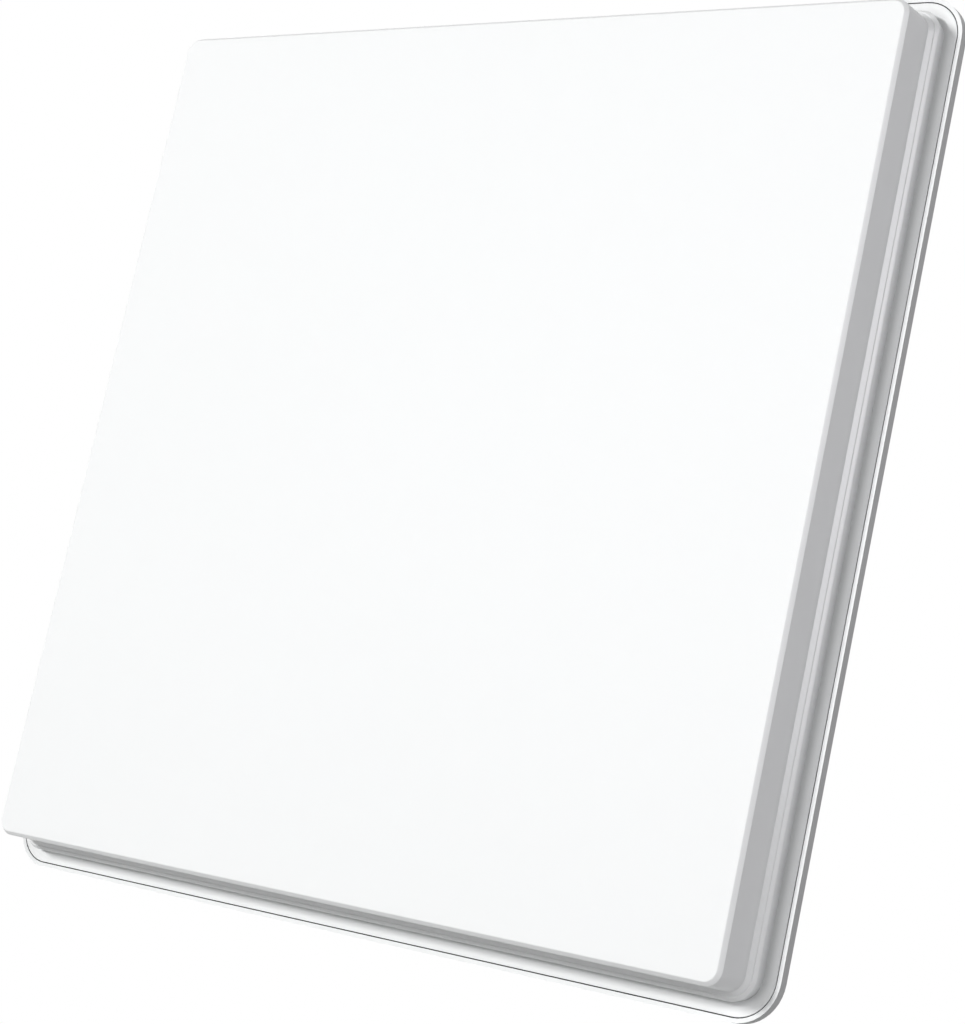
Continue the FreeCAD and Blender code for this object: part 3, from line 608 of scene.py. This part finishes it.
FINISHES = {
    # The radome's colour carries painted shade in its inside corners.
    "radome_plastic": grained_finish(
        "moulded_white", dark=(0.894, 0.906, 0.903), light=(0.9, 0.911, 0.909), rough=(0.28, 0.288),
        grain=1600, depth=0.03, cloud=4, dull=0.3, crease_shade=0.72),
    # The tray's side-facing surfaces are darkened as painted shade.
    "housing_plastic": grained_finish(
        "moulded_white_tray", dark=(0.885, 0.898, 0.895), light=(0.892, 0.904, 0.902),
        rough=(0.44, 0.5), grain=1300, depth=0.05, cloud=5, side_shade=0.62),
    "rubber": grained_finish(
        "black_rubber", dark=(0.012, 0.012, 0.013), light=(0.03, 0.03, 0.032), rough=(0.6, 0.8),
        grain=900, depth=0.08),
    "steel": grained_finish(
        "stainless_steel", dark=(0.55, 0.55, 0.56), light=(0.66, 0.66, 0.66), rough=(0.22, 0.4),
        grain=2600, depth=0.02, cloud=160, metallic=1.0),
    "foam": grained_finish(
        "foam_sheet", dark=(0.82, 0.82, 0.79), light=(0.9, 0.9, 0.88), rough=(0.8, 0.95),
        grain=500, depth=0.3),
    "metallised": grained_finish(
        "metal_coating", dark=(0.68, 0.69, 0.7), light=(0.78, 0.79, 0.8), rough=(0.28, 0.42),
        grain=700, depth=0.05, cloud=12, metallic=1.0),
    "gasket": grained_finish(
        "conductive_rubber", dark=(0.1, 0.1, 0.105), light=(0.17, 0.17, 0.18), rough=(0.55, 0.75),
        grain=1500, depth=0.1),
    "cast_alloy": grained_finish(
        "die_casting", dark=(0.5, 0.51, 0.52), light=(0.62, 0.63, 0.64), rough=(0.38, 0.55),
        grain=1100, depth=0.12, cloud=30, metallic=1.0),
    "board": grained_finish(
        "board_laminate", dark=(0.02, 0.13, 0.05), light=(0.04, 0.2, 0.09), rough=(0.25, 0.4),
        grain=400, depth=0.06, cloud=90),
    "brass": grained_finish(
        "turned_brass", dark=(0.68, 0.47, 0.19), light=(0.8, 0.6, 0.29), rough=(0.24, 0.38),
        grain=2200, depth=0.02, cloud=180, metallic=1.0),
    "plated": grained_finish(
        "nickel_plate", dark=(0.66, 0.64, 0.6), light=(0.76, 0.74, 0.7), rough=(0.16, 0.3),
        grain=2400, depth=0.015, cloud=150, metallic=1.0),
    "insulator": grained_finish(
        "socket_insulator", dark=(0.83, 0.82, 0.77), light=(0.9, 0.9, 0.86), rough=(0.4, 0.55),
        grain=1200, depth=0.05, cloud=120),
}


# Build the pieces and give every piece and CAD node its finish

pieces = [
    make_piece("radome_moulding", radome_shape(), 28, "radome", "radome_plastic"),
    housing_piece(),
    # The gap's bead is painted shade: a black strip where the gap is in shade.
    make_piece("gap_shade_bead", gap_shade_bead_shape(), 50, None, "rubber"),
    make_piece("rim_screws", rim_screws_shape(), 32, "housing_screws", "steel"),
    make_piece("output_socket", socket_shape(), 50, "f_connector", "plated"),
    make_piece("output_nut", nut_shape(), 25, "connector_nut", "plated"),
    make_piece("bracket_bushes", inserts_shape(), 50, "bracket_inserts", "brass"),
]
for piece in pieces:
    piece.data.materials.clear()
    piece.data.materials.append(FINISHES[piece["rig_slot"]])
for subpart in frame["record"]["subparts"]:
    node = frame["nodes"][subpart["node"]]
    for place in node.material_slots:
        place.material = FINISHES[subpart["material_slot"]]


# Floor, light and camera, in metres

FLOOR_LEVEL = -0.9
FLOOR_RINGS = np.array([0.5, 1.0, 2.0, 4.0, 10.0, 40.0])
FLOOR_COLUMNS = 96
FLOOR_COLOUR = (0.58, 0.58, 0.58, 1)
FLOOR_ROUGHNESS = 0.9
FLOOR_FADE = (0.9, 2.6)  # distances between which the floor turns into the background
WHITE = (1.0, 1.0, 1.0)
WORLD_STRENGTH = 0.06


def add_floor():
    """A wide disc that fades from a pale floor to the white of the background."""
    rings = turned(plain_rows(FLOOR_RINGS, FLOOR_COLUMNS), np.full(len(FLOOR_RINGS), FLOOR_LEVEL))
    flat = rings.reshape(-1, 3)
    faces = grid_faces(len(FLOOR_RINGS), FLOOR_COLUMNS).tolist()
    faces += pole_faces(len(flat), np.arange(FLOOR_COLUMNS)).tolist()
    mesh = bpy.data.meshes.new("floor")
    mesh.from_pydata(np.vstack([flat, [[0, 0, FLOOR_LEVEL]]]).tolist(), [], faces)
    floor = bpy.data.objects.new("floor", mesh)
    bpy.context.scene.collection.objects.link(floor)
    mesh.materials.append(floor_finish())


def add_seen_directly(nodes, links):
    """1 for rays from the camera, from a gloss or through glass, and 0 for all others."""
    path = nodes.new("ShaderNodeLightPath")
    seen = path.outputs["Is Camera Ray"]
    for kind in ("Is Glossy Ray", "Is Transmission Ray"):
        seen = add_math(nodes, links, "MAXIMUM", seen, path.outputs[kind])
    return seen


def floor_finish():
    """A dull pale floor that turns into the white background with the distance from its middle."""
    material, nodes, links = new_material("pale_floor")
    shader = nodes["Principled BSDF"]
    shader.inputs["Base Color"].default_value = FLOOR_COLOUR
    shader.inputs["Roughness"].default_value = FLOOR_ROUGHNESS
    glow = nodes.new("ShaderNodeEmission")
    glow.inputs["Strength"].default_value = 1.0
    place = nodes.new("ShaderNodeTexCoord").outputs["Object"]
    distance = nodes.new("ShaderNodeVectorMath")
    distance.operation = "LENGTH"
    links.new(place, distance.inputs[0])
    fade = add_range(nodes, links, distance.outputs["Value"], *FLOOR_FADE, 0.0, 1.0)
    fade.interpolation_type = "SMOOTHSTEP"
    seen = add_seen_directly(nodes, links)
    both = add_math(nodes, links, "MULTIPLY", fade.outputs["Result"], seen)
    mix = nodes.new("ShaderNodeMixShader")
    links.new(both, mix.inputs["Fac"])
    links.new(shader.outputs["BSDF"], mix.inputs[1])
    links.new(glow.outputs["Emission"], mix.inputs[2])
    links.new(mix.outputs["Shader"], nodes["Material Output"].inputs["Surface"])
    return material


def set_world():
    """Soft even light, with a white background for what sees it directly."""
    world = bpy.data.worlds.new("studio")
    world.use_nodes = True
    bpy.context.scene.world = world
    nodes = world.node_tree.nodes
    links = world.node_tree.links
    soft = nodes["Background"]
    soft.inputs["Color"].default_value = (*WHITE, 1)
    soft.inputs["Strength"].default_value = WORLD_STRENGTH
    white = nodes.new("ShaderNodeBackground")
    white.inputs["Color"].default_value = (*WHITE, 1)
    white.inputs["Strength"].default_value = 1.0
    mix = nodes.new("ShaderNodeMixShader")
    links.new(add_seen_directly(nodes, links), mix.inputs["Fac"])
    links.new(soft.outputs["Background"], mix.inputs[1])
    links.new(white.outputs["Background"], mix.inputs[2])
    links.new(mix.outputs["Shader"], nodes["World Output"].inputs["Surface"])


# The azimuth is in degrees right of the front, the elevation in degrees above level
LAMPS = {
    "key": dict(
        azimuth=-17.5, elevation=7.5, distance=3.4, width=0.3, height=0.5, watts=70.0, colour=WHITE),
    "front": dict(
        azimuth=25, elevation=12, distance=3.0, width=1.0, height=1.0, watts=13.0, colour=WHITE),
    "fill": dict(
        azimuth=63, elevation=14, distance=3.0, width=0.5, height=1.3, watts=20.0,
        colour=(0.975, 0.957, 1.0)),
    "rear": dict(
        azimuth=200, elevation=12, distance=3.2, width=1.4, height=1.4, watts=70.0, colour=WHITE),
}


def add_lamp(name, azimuth, elevation, distance, width, height, watts, colour):
    """A soft box that faces the antenna's middle."""
    turn = math.radians(azimuth)
    rise = math.radians(elevation)
    light = bpy.data.lights.new(name, "AREA")
    light.shape = "RECTANGLE"
    light.size = width
    light.size_y = height
    light.energy = watts
    light.color = colour
    lamp = bpy.data.objects.new(name, light)
    lamp.location = (
        distance * math.sin(turn) * math.cos(rise),
        -distance * math.cos(turn) * math.cos(rise),
        distance * math.sin(rise),
    )
    lamp.rotation_euler = (math.pi / 2 - rise, 0, turn)
    lamp.visible_camera = False
    bpy.context.scene.collection.objects.link(lamp)


CAMERA_AT = (0.8950, -1.1380, -0.2557)
CAMERA_DEGREES = (99.432, -12.044, 35.855)
CAMERA_LENS = 88.617


def add_camera():
    """The camera at the photograph's viewing angle."""
    camera = bpy.data.objects.new("camera", bpy.data.cameras.new("camera"))
    camera.data.lens = CAMERA_LENS
    camera.location = CAMERA_AT
    camera.rotation_euler = [math.radians(angle) for angle in CAMERA_DEGREES]
    bpy.context.scene.collection.objects.link(camera)
    bpy.context.scene.camera = camera


add_floor()
set_world()
for name, lamp in LAMPS.items():
    add_lamp(name, **lamp)
add_camera()
bpy.context.scene.view_settings.view_transform = "Standard"
